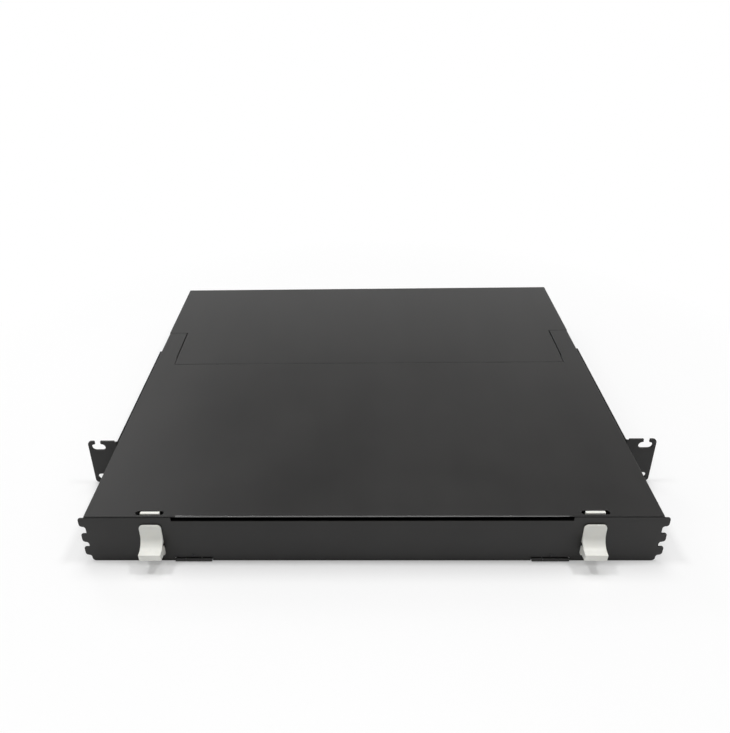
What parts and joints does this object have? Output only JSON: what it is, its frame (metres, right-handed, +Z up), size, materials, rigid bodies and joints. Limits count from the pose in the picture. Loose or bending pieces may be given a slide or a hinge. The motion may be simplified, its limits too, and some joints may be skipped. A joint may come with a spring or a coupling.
{
  "type": "fibre patch panel",
  "caption": "Rack patch panel with sliding trays of fibre cassettes, a drop-down toothed door held by sprung latches, and a split lid.",
  "frame": {"origin": "on the floor plane under the middle of the panel's overall box", "axes": "+X to the panel's right seen from the front, +Y from the door to the rear wall, +Z up"},
  "size_m": [0.4826, 0.4312, 0.0444],
  "materials": {
    "black_powder_coat": "satin",
    "white_plastic": "satin",
    "black_plastic": "matte",
    "grey_plastic": "satin",
    "rubber": "matte",
    "zinc": "satin",
    "steel": "polished",
    "black_screw": "satin"
  },
  "bodies": {
    "root": {"chassis_pan": "black_powder_coat", "rear_panel": "black_powder_coat", "front_cover": "black_powder_coat", "rear_cover": "black_powder_coat", "bracket_left": "black_powder_coat", "bracket_right": "black_powder_coat", "guide_rail_left": "black_plastic", "guide_rail_right": "black_plastic", "cable_tie_bar": "black_powder_coat", "earth_stud": "zinc", "earth_nut": "zinc", "rear_grommet_1": "rubber", "rear_grommet_2": "rubber", "rear_grommet_3": "rubber", "rear_grommet_4": "rubber", "bracket_screw_left_1": "black_screw", "bracket_screw_left_2": "black_screw", "bracket_screw_left_3": "black_screw", "bracket_screw_left_4": "black_screw", "bracket_screw_right_1": "black_screw", "bracket_screw_right_2": "black_screw", "bracket_screw_right_3": "black_screw", "bracket_screw_right_4": "black_screw", "rear_cover_screw_1": "black_screw", "rear_cover_screw_2": "black_screw", "rear_cover_screw_3": "black_screw", "hinge_pin_left": "steel", "hinge_pin_right": "steel"},
    "door": {"front_door": "black_powder_coat", "hinge_leaf_left": "black_powder_coat", "hinge_leaf_right": "black_powder_coat", "hinge_rivet_left": "black_screw", "hinge_rivet_right": "black_screw", "latch_keeper_left": "zinc", "latch_keeper_right": "zinc", "latch_spring_left": "steel", "latch_spring_right": "steel"},
    "latch_left": {"latch_left": "white_plastic"},
    "latch_right": {"latch_right": "white_plastic"},
    "tray_1": {"tray_1": "black_powder_coat", "tray_pull_1_left": "grey_plastic", "tray_pull_1_right": "grey_plastic", "cassette_1_1": "black_plastic", "cassette_1_2": "black_plastic", "cassette_1_3": "black_plastic", "cassette_1_4": "black_plastic"},
    "tray_2": {"tray_2": "black_powder_coat", "tray_pull_2_left": "grey_plastic", "tray_pull_2_right": "grey_plastic", "cassette_2_1": "black_plastic", "cassette_2_2": "black_plastic", "cassette_2_3": "black_plastic", "cassette_2_4": "black_plastic"},
    "tray_3": {"tray_3": "black_powder_coat", "tray_pull_3_left": "grey_plastic", "tray_pull_3_right": "grey_plastic", "cassette_3_1": "black_plastic", "cassette_3_2": "black_plastic", "cassette_3_3": "black_plastic", "cassette_3_4": "black_plastic"}
  },
  "joints": [
    {"name": "door_hinge", "type": "hinge", "parent": "root", "child": "door", "pos_m": [0, -0.20215, 0.0015], "axis": [1, 0, 0], "range_deg": [0, 90]},
    {"name": "latch_left_slide", "type": "slide", "parent": "door", "child": "latch_left", "axis": [0, 0, -1], "range_m": [0, 0.004], "stiffness_N_per_m": 250, "springref_m": -0.003, "deforming": ["latch_spring_left"]},
    {"name": "latch_right_slide", "type": "slide", "parent": "door", "child": "latch_right", "axis": [0, 0, -1], "range_m": [0, 0.004], "stiffness_N_per_m": 250, "springref_m": -0.003, "deforming": ["latch_spring_right"]},
    {"name": "tray_1_slide", "type": "slide", "parent": "root", "child": "tray_1", "axis": [0, -1, 0], "range_m": [0, 0.075]},
    {"name": "tray_2_slide", "type": "slide", "parent": "root", "child": "tray_2", "axis": [0, -1, 0], "range_m": [0, 0.075]},
    {"name": "tray_3_slide", "type": "slide", "parent": "root", "child": "tray_3", "axis": [0, -1, 0], "range_m": [0, 0.075]}
  ]
}
